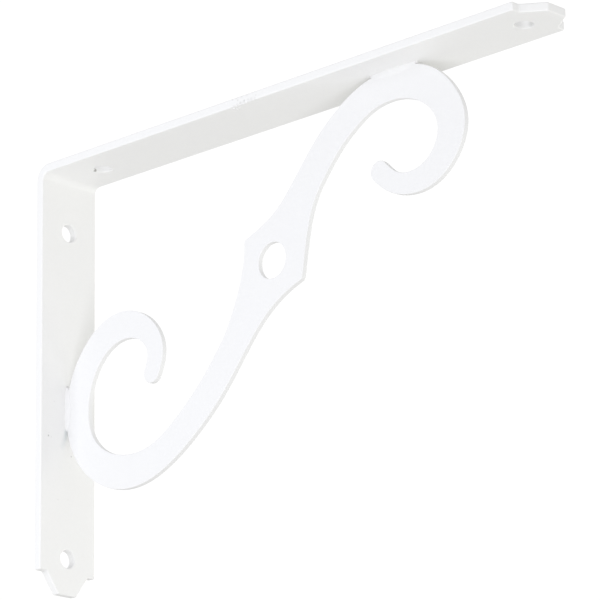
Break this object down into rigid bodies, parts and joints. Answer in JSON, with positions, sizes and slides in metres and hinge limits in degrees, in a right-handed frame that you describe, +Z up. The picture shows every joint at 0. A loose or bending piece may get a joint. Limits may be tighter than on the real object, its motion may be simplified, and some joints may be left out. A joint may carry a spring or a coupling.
{
  "type": "decorative shelf bracket",
  "caption": "Right-angle shelf bracket of bent flat steel, with an S-scroll plate welded inside the corner as a brace.",
  "frame": {"origin": "on the wall face of the leg, on its centre line, midway between the two wall screw holes, 79.95 mm below the arm's top face", "axes": "+Y into the wall, the arm reaches along -Y, +X across the strap, +Z up"},
  "size_m": [0.025, 0.2241, 0.1502],
  "materials": {
    "strap_paint": "satin white powder coat",
    "scroll_paint": "satin white powder coat"
  },
  "bodies": {
    "root": {"strap": "strap_paint", "scroll_brace": "scroll_paint"}
  },
  "joints": []
}
